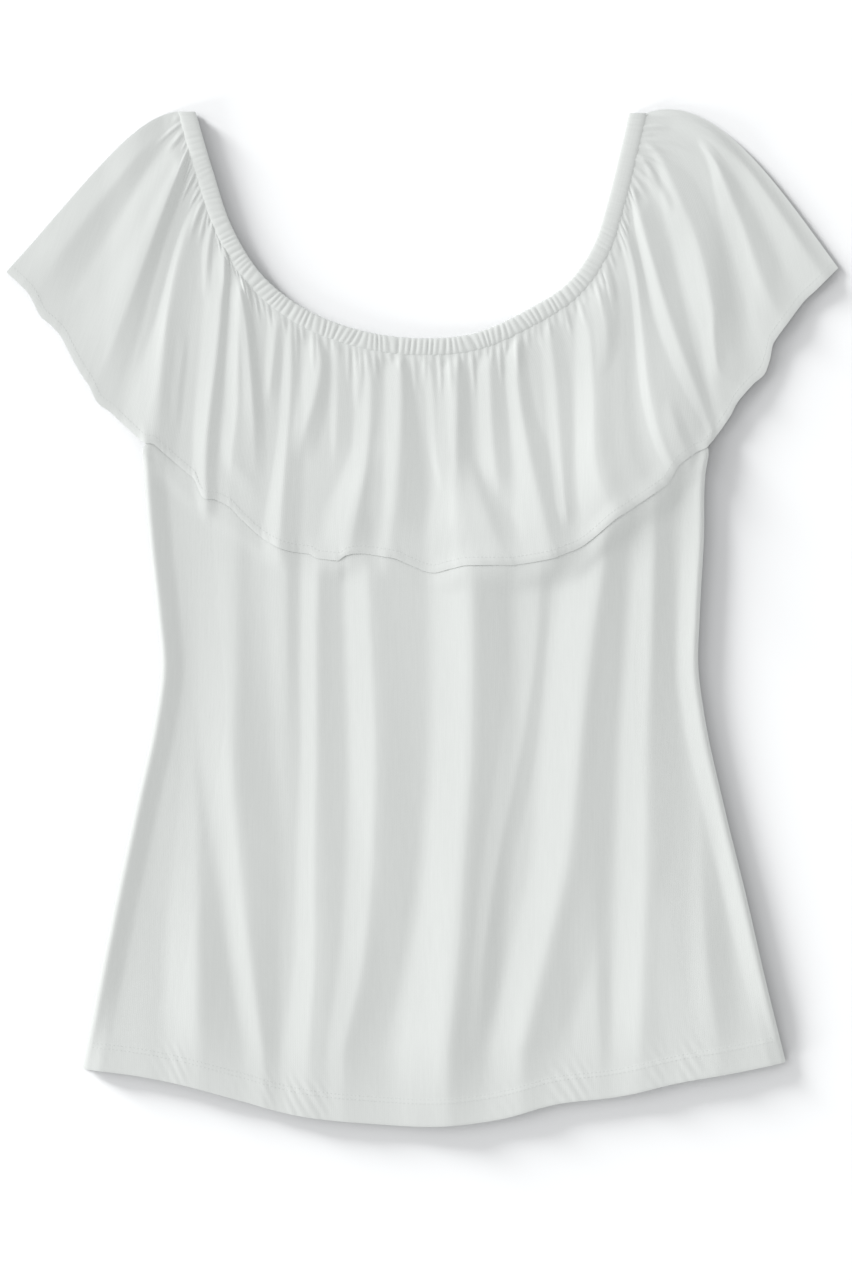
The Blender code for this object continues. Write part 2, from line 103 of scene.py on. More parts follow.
# Each main fold of the ruffle, from the left shoulder to the right one, is a list of rows: share of the
# depth, crest's distance across, width of its left and of its right flank, rise
RUFFLE_FOLDS = [
    [(0.12, 14, 60, 20, 0.0), (0.30, 15, 60, 24, 3.4), (0.45, 17, 60, 26, 4.8), (0.70, 18, 60, 26, 5.2),
     (1.00, 20, 60, 24, 4.8)],
    [(0.02, 82, 18, 12, 0.8), (0.12, 82, 54, 18, 5.0), (0.30, 81, 62, 21, 6.0), (0.60, 82, 62, 22, 5.4),
     (1.00, 84, 62, 18, 5.0)],
    [(0.05, 134, 8, 22, 0.5), (0.25, 134, 9, 24, 3.5), (0.40, 133, 11, 26, 4.0), (0.50, 132, 14, 26, 4.2),
     (0.70, 131, 23, 26, 4.8), (1.00, 127, 29, 26, 5.5)],
    [(0.50, 150, 8, 5, 0.0), (0.60, 150, 8, 5, 0.7), (0.75, 149, 8, 6, 0.7), (0.90, 149, 8, 6, 0.0)],
    [(0.00, 168, 5, 6, 0.5), (0.06, 163, 5, 6, 2.2), (0.15, 161, 5, 6, 2.2), (0.27, 162, 5, 7, 0.8),
     (0.34, 163, 5, 7, 0.0)],
    [(0.00, 195, 9, 9, 1.0), (0.08, 187, 11, 9, 3.5), (0.15, 183, 12, 9, 4.8), (0.30, 178, 13, 10, 5.4),
     (0.60, 179, 14, 11, 5.0), (0.90, 180, 14, 12, 4.4), (1.00, 181, 15, 12, 4.2)],
    [(0.00, 220, 9, 10, 1.0), (0.08, 212, 11, 12, 3.8), (0.20, 203, 12, 16, 5.2), (0.40, 201, 12, 22, 6.0),
     (0.65, 204, 12, 28, 4.6), (0.80, 203, 12, 34, 3.4), (0.90, 204, 12, 34, 0.8), (1.00, 204, 12, 34, 0.3)],
    [(0.10, 207, 5, 9, 0.5), (0.20, 209, 7, 11, 2.4), (0.35, 212, 9, 12, 3.2), (0.50, 217, 13, 14, 3.2),
     (0.65, 222, 16, 14, 1.8), (0.78, 225, 18, 14, 0.0)],
    [(0.00, 248, 5, 6, 0.8), (0.10, 242, 7, 9, 2.6), (0.30, 236, 8, 10, 2.6), (0.48, 232, 8, 10, 0.2)],
    [(0.02, 255, 5, 6, 0.5), (0.10, 254, 6, 7, 3.0), (0.45, 253, 8, 14, 3.0), (0.70, 252, 10, 18, 3.8),
     (1.00, 251, 18, 22, 5.0)],
    [(0.03, 276, 9, 9, 0.5), (0.12, 277, 12, 9, 4.4), (0.30, 273, 12, 11, 5.0), (0.45, 267, 12, 14, 3.0),
     (0.60, 263, 10, 14, 0.0)],
    [(0.00, 288, 4, 8, 0.8), (0.10, 289, 4, 13, 2.4), (0.35, 289, 4, 13, 2.0), (0.55, 290, 5, 13, 0.2)],
    [(0.03, 304, 4, 5, 0.5), (0.12, 304, 4, 5, 1.8), (0.30, 303, 4, 5, 0.0)],
    [(0.02, 313, 6, 9, 0.5), (0.10, 313, 7, 13, 5.0), (0.45, 313, 8, 14, 5.6), (0.55, 313, 13, 15, 5.6),
     (0.68, 312, 23, 18, 5.6), (0.82, 311, 29, 20, 5.8), (1.00, 311, 31, 20, 5.8)],
    [(0.02, 337, 8, 6, 0.5), (0.10, 337, 10, 10, 5.4), (0.35, 337, 13, 18, 7.4), (0.55, 337, 15, 24, 8.4),
     (0.75, 337, 15, 26, 7.4), (0.88, 336, 12, 26, 4.4), (1.00, 335, 12, 26, 3.4)],
    [(0.00, 358, 4, 6, 0.6), (0.10, 361, 5, 9, 2.6), (0.40, 364, 5, 12, 2.2), (0.65, 371, 5, 12, 0.2)],
    [(0.02, 380, 6, 9, 0.5), (0.10, 380, 9, 13, 7.0), (0.50, 380, 12, 17, 8.4), (0.65, 380, 14, 28, 7.8),
     (0.80, 380, 18, 36, 8.8), (1.00, 380, 20, 34, 7.4)],
    [(0.50, 390, 20, 14, 0.0), (0.68, 396, 24, 18, 2.6), (0.82, 401, 28, 20, 3.6), (0.92, 404, 28, 20, 3.0),
     (1.00, 405, 28, 18, 2.0)],
    [(0.03, 410, 9, 10, 0.5), (0.12, 411, 11, 16, 3.6), (0.50, 410, 12, 18, 3.4), (0.70, 411, 11, 16, 0.3)],
    [(0.02, 437, 7, 7, 0.5), (0.10, 437, 9, 8, 3.8), (0.35, 437, 11, 10, 4.0), (0.50, 437, 15, 16, 4.4),
     (0.80, 437, 23, 26, 4.8), (1.00, 438, 26, 34, 5.0)],
    [(0.02, 461, 5, 10, 0.5), (0.10, 461, 5, 13, 3.2), (0.50, 460, 6, 15, 3.6), (0.80, 459, 9, 12, 2.8),
     (0.90, 460, 9, 10, 0.3)],
    [(0.02, 494, 6, 20, 0.5), (0.12, 494, 7, 40, 5.6), (0.25, 493, 8, 48, 9.0), (0.50, 491, 11, 50, 10.0),
     (0.70, 489, 15, 50, 9.6), (0.82, 490, 19, 48, 9.0), (1.00, 493, 26, 46, 8.0)],
    [(0.02, 509, 12, 14, 0.5), (0.10, 510, 14, 16, 2.2), (0.22, 509, 14, 18, 2.0), (0.38, 506, 12, 18, 0.0)],
    [(0.00, 521, 5, 6, 0.4), (0.08, 521, 5, 6, 1.8), (0.18, 521, 5, 6, 0.2)],
    [(0.02, 549, 5, 12, 0.5), (0.10, 550, 6, 18, 4.0), (0.30, 550, 5, 22, 5.0), (0.50, 551, 5, 24, 5.0),
     (0.80, 552, 5, 24, 4.4), (1.00, 552, 5, 18, 3.4)],
    [(0.76, 564, 8, 7, 0.0), (0.88, 564, 10, 8, 2.0), (1.00, 565, 12, 8, 2.6)],
    [(0.02, 597, 8, 8, 0.5), (0.08, 592, 10, 10, 3.0), (0.15, 589, 12, 22, 6.0), (0.30, 585, 13, 25, 6.8),
     (0.45, 583, 12, 22, 6.0), (0.60, 584, 10, 16, 4.6), (0.75, 586, 8, 11, 3.6), (0.90, 588, 6, 9, 1.6),
     (1.00, 589, 5, 8, 0.4)],
    [(0.00, 643, 5, 6, 0.6), (0.05, 631, 6, 6, 2.2), (0.10, 622, 7, 6, 2.6), (0.18, 618, 7, 6, 1.8),
     (0.26, 617, 7, 6, 0.0)],
    [(0.00, 672, 5, 6, 0.6), (0.05, 657, 6, 7, 2.2), (0.10, 645, 9, 12, 3.4), (0.15, 636, 11, 20, 5.2),
     (0.20, 631, 12, 24, 6.6), (0.30, 627, 14, 28, 7.8), (0.50, 627, 21, 29, 8.0), (0.65, 626, 23, 30, 7.0),
     (0.75, 619, 20, 38, 5.4), (0.82, 616, 20, 42, 4.8), (0.90, 622, 27, 38, 5.4), (1.00, 631, 36, 28, 6.0)],
    [(0.22, 690, 12, 12, 0.0), (0.30, 684, 13, 18, 3.2), (0.37, 678, 14, 22, 5.2), (0.45, 676, 16, 24, 6.2),
     (0.60, 678, 18, 25, 6.8), (0.75, 679, 19, 24, 6.8), (0.90, 680, 26, 20, 6.4), (1.00, 681, 34, 19, 6.4)],
    [(0.10, 700, 30, 30, 0.0), (0.25, 706, 24, 24, 2.2), (0.48, 712, 22, 14, 3.6), (0.90, 715, 22, 12, 3.8),
     (1.00, 715, 22, 12, 3.4)],
]
# All the rises of the ruffle's folds are scaled by this, until their flanks are as dark as they look
RUFFLE_RISES = 0.85
# A fold fades in and out over these shares of the depth, above its first row and below its last one
FOLD_BEGIN = 0.05
FOLD_END = 0.06
# The folds sink by this share towards the hem, less on the body than in the wings
RUFFLE_HEM_FLATTENING = 0.25
WING_HEM_FLATTENING = 0.55
FLATTENING_FROM = 0.78
# The wings' hems stand off the table between folds, and a third as far on a fold of the second height.
# The lift starts at the third distance from the hem
WING_HEM_LIFT = 1.8
WING_LIFT_FOLD = 2.5
WING_LIFT_FROM = 45.0
# The right half of the hem lies this much higher, with the body under it. The swell grows between the
# first two x and ends between the last two, rises over one distance and falls from just above the hem
SWELL = 7.5
SWELL_X = (10, 80, 175, 226)
SWELL_ABOVE = 130.0
SWELL_TURN = 9.0
SWELL_BELOW = 27.0

# The share of the folds' height that is left where they are sewn to the casing, and where it is full
SEAM_RELIEF = 0.4
SEAM_FADE = 0.05
# Widths over which the ruffle turns down to its two shoulder folds, the left one tight, the right slack
LEFT_TURN = 0.4
RIGHT_TURN = 12.0

# Small gathers run out below the casing: rise and width of a flank there, length as a share of the
# depth, how far each strays from its even place, and how far it leans over the whole depth
SMALL_GATHERS = 100
GATHER_SEED = 5
GATHER_RISE = (1.0, 2.5)
GATHER_WIDTH = (1.6, 3.2)
GATHER_LENGTH = (0.05, 0.24)
GATHER_STRAY = 0.35
GATHER_LEAN = 8.0
# A gather widens as the cloth does within this share of the neckline on each side, up to a limit
GATHER_REACH = 0.004
GATHER_WIDEST = 3

# Where the ruffle's hem lies, as a share of the depth, at distances across
RUFFLE_HEMLINE = [
    (0, 1.007), (18, 1.012), (32, 1.030), (41, 1.012), (52, 0.996), (80, 0.996), (91, 1.014), (100, 1.004),
    (121, 1.004), (130, 0.972), (168, 0.970), (177, 1.014), (190, 0.992), (203, 0.985), (215, 1.000),
    (236, 1.011), (250, 1.011), (277, 1.006), (285, 1.024), (302, 1.028), (309, 1.000), (322, 0.981),
    (338, 0.984), (347, 1.004), (360, 1.030), (371, 1.006), (382, 0.988), (401, 0.992), (412, 1.000),
    (437, 1.000), (456, 0.990), (470, 0.990), (488, 0.998), (500, 1.007), (538, 1.007), (546, 0.996),
    (557, 0.980), (571, 0.988), (582, 1.007), (609, 1.006), (620, 0.998), (637, 1.012), (648, 1.031),
    (656, 1.018), (667, 0.989), (695, 0.996), (708, 1.007), (725, 1.000),
]

# Where the ruffle's wings leave the body and sink from the body's sheets to the back ruffle
LEFT_WING = (-238, -208)
RIGHT_WING = (240, 212)
# The front body follows this share of the height of the ruffle's folds at its hem, from these
# distances below and above it
NESTED = 0.95
NEST_BELOW = 18.0
NEST_ABOVE = 26.0

# Side seams of the body from underarm to hem: y, left x, right x
BODY_SECTIONS = [
    (135, -207, 214), (112, -206, 209), (57, -202, 207), (1, -196, 204), (-38, -193, 203),
    (-70, -197, 207), (-140, -212, 222), (-205, -226, 238), (-270, -239, 253), (-334, -251, 269),
]
HEMLINE = [
    (-251, -334), (-217, -338), (-180, -345), (-135, -357), (-98, -367), (-39, -374), (13, -376),
    (57, -371), (98, -360), (146, -354), (190, -344), (235, -336), (269, -329),
]
# Armholes: the shares of the neckline where they end, their curves, and each one's share of a row
ARMHOLE_SHARES = (0.12, 0.88)
LEFT_ARMHOLE = [(-206.5, 124), (-186, 165), (-172, 225)]
RIGHT_ARMHOLE = [(166, 228), (186, 165), (210.5, 124)]
ARMHOLE_SPAN = 0.12

# Each long fold of the front body at six heights: crest's x, width of its left and of its right flank,
# and rise
FOLD_LEVELS = (42, -24, -98, -172, -246, -320)
BODY_FOLDS = [
    ((-169, -169, -169, -166, -166, -165), (10, 10, 11, 21, 28, 31), (16, 16, 16, 20, 28, 40),
     (0.0, 0.0, 0.4, 1.6, 4.0, 6.0)),
    ((-138, -138, -140, -135, -128, -118), (37, 37, 30, 18, 14, 12), (26, 28, 34, 36, 26, 14),
     (1.5, 2.5, 4.0, 5.0, 4.5, 3.5)),
    ((-101, -101, -101, -101, -101, -101), (30, 30, 30, 30, 30, 30), (13, 13, 13, 13, 13, 13),
     (1.8, 1.4, 0.4, 0.0, 0.0, 0.0)),
    ((-77, -78, -78, -79, -79, -83), (12, 11, 9, 11, 15, 24), (20, 22, 26, 40, 52, 56),
     (4.0, 4.0, 3.8, 4.0, 4.0, 4.0)),
    ((-40, -37, -34, -36, -42, -58), (12, 13, 15, 18, 22, 15), (44, 44, 44, 44, 36, 33),
     (6.0, 6.5, 6.5, 5.0, 3.5, 2.0)),
    ((36, 37, 36, 31, 26, 18), (26, 25, 24, 26, 34, 42), (34, 36, 38, 36, 38, 36),
     (8.0, 8.5, 8.5, 8.5, 8.5, 8.0)),
    ((87, 83, 72, 57, 46, 40), (25, 22, 18, 14, 10, 10), (10, 10, 14, 14, 14, 14),
     (1.0, 1.2, 1.5, 1.5, 1.0, 0.0)),
    ((133, 124, 116, 109, 92, 73), (28, 25, 23, 23, 22, 22), (26, 30, 32, 36, 40, 34),
     (7.0, 8.0, 8.0, 8.0, 7.5, 7.0)),
    ((128, 128, 128, 128, 128, 130), (22, 22, 22, 22, 22, 22), (12, 12, 12, 12, 12, 12),
     (0.0, 0.0, 0.0, 0.0, 1.0, 1.5)),
    ((170, 168, 166, 166, 164, 161), (20, 20, 22, 26, 25, 25), (18, 22, 30, 40, 40, 50),
     (4.5, 4.5, 4.5, 4.5, 4.5, 4.5)),
    ((205, 205, 205, 205, 208, 217), (20, 20, 20, 25, 45, 50), (12, 12, 12, 15, 22, 26),
     (0.0, 0.0, 0.0, 1.0, 3.5, 4.5)),
]
# All the rises of the body's folds are scaled by this, until their flanks are as dark as they look
BODY_RISES = 1.3
# The cloth rolls over at each side seam: distance in to the roll's crest and to its foot, and rise
ROLL_CREST = 2.5
ROLL_TROUGH = 18.0
ROLL_RISE = 4.5
# Under the ruffle the body is pressed flat: the folds begin above the ruffle's hem and are full below it
FOLD_START = 20.0
FOLD_FULL = -25.0

# The body steps down off the back ruffle from this distance below the ruffle's hem
YOKE_OVERHANG = 9.0
YOKE_STEP = 12.0
# The back ruffle is shorter by this share, and pressed flat to this share of the front one's folds
BACK_RUFFLE_INSET = 0.012
BACK_RUFFLE_RELIEF = 0.05
# The back body is pressed flat to this share of the front one's folds, and wholly at its side seams
BACK_BODY_RELIEF = 0.3
BACK_BODY_EDGE = 10.0

# Steepness of a fold's flank at shares of its width, from crest to foot: round, then even, then level
FLANK_SHARES = (0.0, 0.18, 0.72, 1.0)
FLANK_STEEPNESS = (0.2, 1.0, 0.9, 0.0)
FLANK_STEPS = 200
# A fold's left flank gets wider and lower where it would be steeper than this, and a gather's than that
STEEPEST = 0.21
STEEPEST_GATHER = 0.36

# Turned hems: depth, extra height, the share of it at the ruffle's narrow hem, and the stitches' dip
BODY_HEM = 20.0
RUFFLE_HEM = 6.0
HEM_RISE = 0.45
HEM_STEP = 1.5
RUFFLE_HEM_SHARE = 0.5
STITCH_DIP = 0.35
STITCH_DIP_WIDTH = 0.9
# Puckers that the stitching draws in: height, then slant, pitch and seed. Their places wander: number
# of waves, wavelengths along and beside the hem, and height
BODY_PUCKER = 0.55
BODY_PUCKERS = (0.6, 8.0, 4)
RUFFLE_PUCKER = 0.25
RUFFLE_PUCKERS = (0.3, 8.5, 3)
PUCKER_WANDER = (4, (25, 90), (500, 900), 1.2)
# Their strength comes and goes along the hem at a rate in this range, and is most at a share of its depth
PUCKER_RATE = (5, 8)
PUCKER_MIDDLE = 0.6
# Stretches of the body's hem, in x, where the stitching draws the most, and the share of it elsewhere
PUCKERED = [(-202, -165), (-117, -58), (42, 64), (94, 124), (168, 205)]
PUCKERED_FADE = 9.0
PUCKERED_LEAST = 0.12
# The folds sink towards the front hem, which stands off the back one between them, and a third as far
# on a fold of HEM_LIFT_FOLD. The lift fades out at the side seams
HEM_FLATTENING = 0.55
HEM_FLAT_FROM = 55.0
HEM_LIFT = 3.8
HEM_LIFT_FROM = 90.0
HEM_LIFT_FOLD = 5.0
HEM_LIFT_SIDE = 14.0
# A stitch: pitch, size along, across and up, sides and rings, and its height over the cloth
STITCH_PITCH = 3.0
STITCH_SIZE = (2.3, 0.55, 0.3)
STITCH_SIDES = 6
STITCH_RINGS = 4
STITCH_LIFT = 0.05
# A stitch follows its row over this share of the pitch on each side
STITCH_REACH = 0.4
TWIN_NEEDLE = 3.0
# Faint waves in the cloth: seed, number, wavelengths across and along, and height
RUFFLE_WAVES = (11, 7, (22, 60), (150, 350), 0.12)
BODY_WAVES = (21, 8, (24, 60), (200, 500), 0.16)
# The ruffle's depth along the cloth, and the share of it over which its waves begin
RUFFLE_FALL = 165.0
WAVES_FADE = 0.2
# The body's waves, puckers and hem band begin this far below the ruffle's hem, are full further down,
# and fade out at the side seams
FREE_BELOW = 5.0
FREE_FADE = 20.0
FREE_SIDE = 12.0
# The side seams draw the edge down: depth, width, and the two y between which that grows
SEAM_DIP = 0.5
SEAM_DIP_WIDTH = 2.0
SEAM_DIP_FROM = 100.0
SEAM_DIP_FULL = 60.0

CURVE_STEPS = 24


def ease(share):
    """0 to 1 with a level start and end."""
    share = np.clip(share, 0, 1)
    return share * share * (3 - 2 * share)


def between(start, end, share):
    """The value at a share of the way from start to end."""
    return start + (end - start) * share


def over_spans(values, spans):
    """Values at the given shares of each span between neighbours, and the last value."""
    inner = [between(values[i], values[i + 1], span) for i, span in enumerate(spans)]
    return np.concatenate(inner + [values[-1:]])


def smooth_span(f, chord, start, end, start_slope, end_slope):
    """The smooth cubic over a span of this length, at shares f of it."""
    return (
        (2 * f**3 - 3 * f**2 + 1) * start
        + (f**3 - 2 * f**2 + f) * chord * start_slope
        + (3 * f**2 - 2 * f**3) * end
        + (f**3 - f**2) * chord * end_slope
    )


def smooth_curve(points, shares):
    """A smooth curve through the points, read at the given shares of each span and at its end."""
    points = np.array(points, float)
    chord = np.linalg.norm(np.diff(points, axis=0), axis=1)[:, None]
    slope = np.diff(points, axis=0) / chord
    inner = (slope[:-1] * chord[1:] + slope[1:] * chord[:-1]) / (chord[:-1] + chord[1:])
    tangent = np.vstack([slope[:1], inner, slope[-1:]])
    curve = []
    for i, span in enumerate(shares):
        f = np.array(span, float)[:, None]
        curve.append(smooth_span(f, chord[i], points[i], points[i + 1], tangent[i], tangent[i + 1]))
    return np.vstack(curve + [points[-1:]])


def fine_curve(points):
    """A smooth curve through the points, fine enough to measure along."""
    steps = np.arange(CURVE_STEPS) / CURVE_STEPS
    return smooth_curve(points, [steps] * (len(points) - 1))


def read_smooth(levels, values, at):
    """A smooth line through values given at rising levels, never past them, read at other levels."""
    levels, values = np.array(levels, float), np.array(values, float)
    chord = np.diff(levels)
    slope = np.diff(values) / chord
    before, after = slope[:-1], slope[1:]
    turning = before * after <= 0
    inner = np.where(turning, 0, 2 * before * after / np.where(turning, 1, before + after))
    tangent = np.concatenate([slope[:1], inner, slope[-1:]])
    at = np.clip(at, levels[0], levels[-1])
    i = np.clip(np.searchsorted(levels, at) - 1, 0, len(chord) - 1)
    f = (at - levels[i]) / chord[i]
    return smooth_span(f, chord[i], values[i], values[i + 1], tangent[i], tangent[i + 1])


def run_along(line):
    """Distance along a line of points, at each of them."""
    return np.concatenate([[0], np.cumsum(np.linalg.norm(np.diff(line, axis=0), axis=1))])


def run_over(sheet, axis):
    """Distance at each point of a sheet down its columns, axis 0, or along its rows, axis 1."""
    step = np.linalg.norm(np.diff(sheet, axis=axis), axis=2)
    start = np.zeros_like(step.take([0], axis=axis))
    return np.concatenate([start, np.cumsum(step, axis=axis)], axis=axis)


def run_from_hem(sheet):
    """Distance from the hem, the last row, at each point of a sheet."""
    return run_over(sheet[::-1], 0)[::-1]


def at_shares(line, shares):
    """Points at these shares of a line's length."""
    run = run_along(line)
    wanted = np.asarray(shares, float) * run[-1]
    return np.stack([np.interp(wanted, run, line[:, axis]) for axis in range(line.shape[1])], axis=-1)


NECK_EDGE = fine_curve(NECKLINE)
NECK_LENGTH = run_along(NECK_EDGE)[-1]


def beside_neckline(shares, distance):
    """Points at shares of the neckline's length, moved out from the neck opening by a distance."""
    shares = np.asarray(shares, float)
    step = 1 / NECK_LENGTH
    after = at_shares(NECK_EDGE, np.clip(shares + step, 0, 1))
    before = at_shares(NECK_EDGE, np.clip(shares - step, 0, 1))
    slant = ease(np.minimum(shares, 1 - shares) / LEVEL_END)
    outward = np.stack([(after - before)[..., 1], -(after - before)[..., 0] * slant], axis=-1)
    outward /= np.linalg.norm(outward, axis=-1, keepdims=True)
    return at_shares(NECK_EDGE, shares) + outward * np.asarray(distance)[..., None]


FLANK_RUN = np.linspace(0, 1, FLANK_STEPS + 1)
FLANK_FALL = np.cumsum(np.interp(FLANK_RUN, FLANK_SHARES, FLANK_STEEPNESS))
FLANK_HEIGHT = 1 - (FLANK_FALL - FLANK_FALL[0]) / (FLANK_FALL[-1] - FLANK_FALL[0])


def fold_profile(away):
    """Height of a fold's flank from its crest, at 0, to its foot, at 1."""
    return np.interp(away, FLANK_RUN, FLANK_HEIGHT)


def fold(across, crest, left, right, rise, steepest=STEEPEST):
    """Height of a fold with its crest at a distance across and a flank of its own width on each side."""
    excess = np.sqrt(np.maximum(1, rise / (steepest * left)))
    left, rise = left * excess, rise / excess
    return rise * fold_profile(np.where(across < crest, (crest - across) / left, (across - crest) / right))


RUFFLE_SEATS = np.array([line[0] for line in RUFFLE_LINES])
RUFFLE_HEM_EDGE = fine_curve([line[3] for line in RUFFLE_LINES])


def ruffle_hem_y(x):
    """y of the ruffle's hem at these x, without its small waves."""
    return np.interp(x, RUFFLE_HEM_EDGE[:, 0], RUFFLE_HEM_EDGE[:, 1])


def ruffle_plan(columns, depth):
    """x and y of the ruffle: down each column a cubic goes through four points at thirds of the depth.
    columns: shares of each span between lines. depth: rows by columns."""
    top = beside_neckline(over_spans(RUFFLE_SEATS, columns), SEAM_LINE)
    third, two_thirds, foot = [smooth_curve([line[k] for line in RUFFLE_LINES], columns) for k in (1, 2, 3)]
    v = depth[..., None]
    return (
        -4.5 * (v - 1 / 3) * (v - 2 / 3) * (v - 1) * top
        + 13.5 * v * (v - 2 / 3) * (v - 1) * third
        - 13.5 * v * (v - 1 / 3) * (v - 1) * two_thirds
        + 4.5 * v * (v - 1 / 3) * (v - 2 / 3) * foot
    )


def lines_across():
    """Distances across of the lines that give the ruffle's plan."""
    fine = [np.arange(CURVE_STEPS) / CURVE_STEPS] * (len(RUFFLE_LINES) - 1)
    depth = np.full((1, CURVE_STEPS * len(fine) + 1), MEASURED_AT)
    return run_along(ruffle_plan(fine, depth)[0])[::CURVE_STEPS]


LINES_ACROSS = lines_across()


def ruffle_columns(pitch):
    """Shares of each span between the ruffle's lines that put columns a pitch apart where it is
    measured, and the columns' distances across. One more column stands where the left turn ends."""
    counts = np.maximum(1, np.round(np.diff(LINES_ACROSS) / pitch)).astype(int)
    spans = [np.arange(count) / count for count in counts]
    spans[0] = np.insert(spans[0], 1, LEFT_TURN / LINES_ACROSS[1])
    return spans, over_spans(LINES_ACROSS, spans)


def ruffle_spread(across, depth):
    """How wide the ruffle lies at each point for each mm across: least where it is gathered close."""
    at_casing = np.diff(RUFFLE_SEATS) * NECK_LENGTH / np.diff(LINES_ACROSS)
    middles = (LINES_ACROSS[1:] + LINES_ACROSS[:-1]) / 2
    close = np.minimum(np.interp(across, middles, at_casing), 1)
    return between(close, 1, np.minimum(depth / MEASURED_AT, 1))


def main_folds(across, depth, steepest):
    """Height of the ruffle's main folds."""
    height = np.zeros((len(depth), len(across)))
    for rows in RUFFLE_FOLDS:
        levels, *readings = zip(*rows)
        crest, left, right, rise = [read_smooth(levels, reading, depth) for reading in readings]
        fade = ease(1 - (depth - levels[-1]) / FOLD_END) * ease(1 + (depth - levels[0]) / FOLD_BEGIN)
        rise = RUFFLE_RISES * np.maximum(rise, 0) * fade
        height += fold(across, crest, left, right, rise, steepest)
    return height


def small_gathers(across, depth, steepest):
    """Height of the small gathers that run out below the casing."""
    height = np.zeros((len(depth), len(across)))
    draw = np.random.default_rng(GATHER_SEED)
    for i in range(SMALL_GATHERS):
        seat = (i + 0.5 + draw.uniform(-GATHER_STRAY, GATHER_STRAY)) / SMALL_GATHERS
        crest = np.interp(seat, RUFFLE_SEATS, LINES_ACROSS)
        beside = np.clip([seat - GATHER_REACH, seat + GATHER_REACH], 0, 1)
        near = np.interp(beside, RUFFLE_SEATS, LINES_ACROSS)
        spread = np.clip((near[1] - near[0]) / (2 * GATHER_REACH * NECK_LENGTH), 1, GATHER_WIDEST)
        left, right = draw.uniform(*GATHER_WIDTH, 2) * spread
        length = between(*GATHER_LENGTH, draw.uniform() ** 2)
        lean = draw.uniform(-GATHER_LEAN, GATHER_LEAN)
        rise = draw.uniform(*GATHER_RISE) * ease(1 - depth / length)
        height += fold(across, crest + lean * depth, left, right, rise, steepest)
    return height


def ruffle_relief(across, depth):
    """Height of the ruffle's folds and gathers. across: one row. depth: one column."""
    spread = ruffle_spread(across, depth)
    folds = main_folds(across, depth, STEEPEST * spread)
    gathers = small_gathers(across, depth, STEEPEST_GATHER * spread)
    return (folds + gathers) * between(SEAM_RELIEF, 1, ease(depth / SEAM_FADE))


def ruffle_hemline(across):
    """Where the ruffle's hem lies, as a share of the depth, at distances across."""
    places, depths = zip(*RUFFLE_HEMLINE)
    return read_smooth(places, depths, across)


def ruffle_fullness(across):
    """0 on the two shoulder folds, rising to 1 inside them."""
    return ease(np.minimum(across / LEFT_TURN, (across[-1] - across) / RIGHT_TURN))


def side_seams(y):
    """x of the left and of the right side seam at these heights."""
    sections = np.array(BODY_SECTIONS, float)[::-1]
    left, right = fine_curve(sections[:, [0, 1]]), fine_curve(sections[:, [0, 2]])
    return np.interp(y, left[:, 0], left[:, 1]), np.interp(y, right[:, 0], right[:, 1])


def inside_seams(x, y):
    """Distance in from the nearer side seam."""
    left, right = side_seams(y)
    return np.minimum(x - left, right - x)


def body_top(columns):
    """The body's upper edge: left armhole, neckline beside the casing, right armhole."""
    first, last = ARMHOLE_SHARES
    left = fine_curve(LEFT_ARMHOLE + [beside_neckline(first, SEAM_LINE)])
    right = fine_curve([beside_neckline(last, SEAM_LINE)] + RIGHT_ARMHOLE)
    side = round(ARMHOLE_SPAN * columns)
    shares = np.linspace(0, 1, side + 1)
    neck = beside_neckline(np.linspace(first, last, columns - 2 * side + 1), SEAM_LINE)
    return np.vstack([at_shares(left, shares)[:-1], neck, at_shares(right, shares)[1:]])


def yoke_edge(columns):
    """The line across the body just below the ruffle's hem, from side seam to side seam."""
    left = side_seams(ruffle_hem_y(LEFT_ARMHOLE[0][0]) - YOKE_OVERHANG)[0]
    right = side_seams(ruffle_hem_y(RIGHT_ARMHOLE[-1][0]) - YOKE_OVERHANG)[1]
    x = np.linspace(left, right, columns + 1)
    return np.stack([x, ruffle_hem_y(x) - YOKE_OVERHANG], axis=-1)


def body_plan(columns, yoke_rows, skirt_rows):
    """x and y of every point of a body panel: yoke rows under the ruffle, then skirt rows to the hem."""
    top, middle = body_top(columns), yoke_edge(columns)
    hem = at_shares(fine_curve(HEMLINE), np.linspace(0, 1, columns + 1))
    across = np.linspace(0, 1, columns + 1)
    rows = [top * (1 - row) + middle * row for row in yoke_rows]
    for row in skirt_rows:
        line = middle * (1 - row) + hem * row
        shift_left = side_seams(line[0, 1])[0] - line[0, 0]
        shift_right = side_seams(line[-1, 1])[1] - line[-1, 0]
        line[:, 0] += (1 - across) * shift_left + across * shift_right
        rows.append(line)
    return np.array(rows)


def body_folds(x, y):
    """Height of the front body's folds at each point."""
    folds = np.zeros_like(x)
    levels = FOLD_LEVELS[::-1]
    for columns in BODY_FOLDS:
        crest, left, right, rise = [read_smooth(levels, column[::-1], y) for column in columns]
        folds += fold(x, crest, left, right, BODY_RISES * np.maximum(rise, 0))
    inward = inside_seams(x, y)
    roll = np.where(
        inward < ROLL_CREST, ease((inward + ROLL_CREST) / (2 * ROLL_CREST)),
        fold_profile((inward - ROLL_CREST) / (ROLL_TROUGH - ROLL_CREST))
    )
    above_hem = y - ruffle_hem_y(x)
    pressed = ease((FOLD_START - above_hem) / (FOLD_START - FOLD_FULL))
    return (folds * ease(inward / ROLL_TROUGH) + ROLL_RISE * roll) * pressed


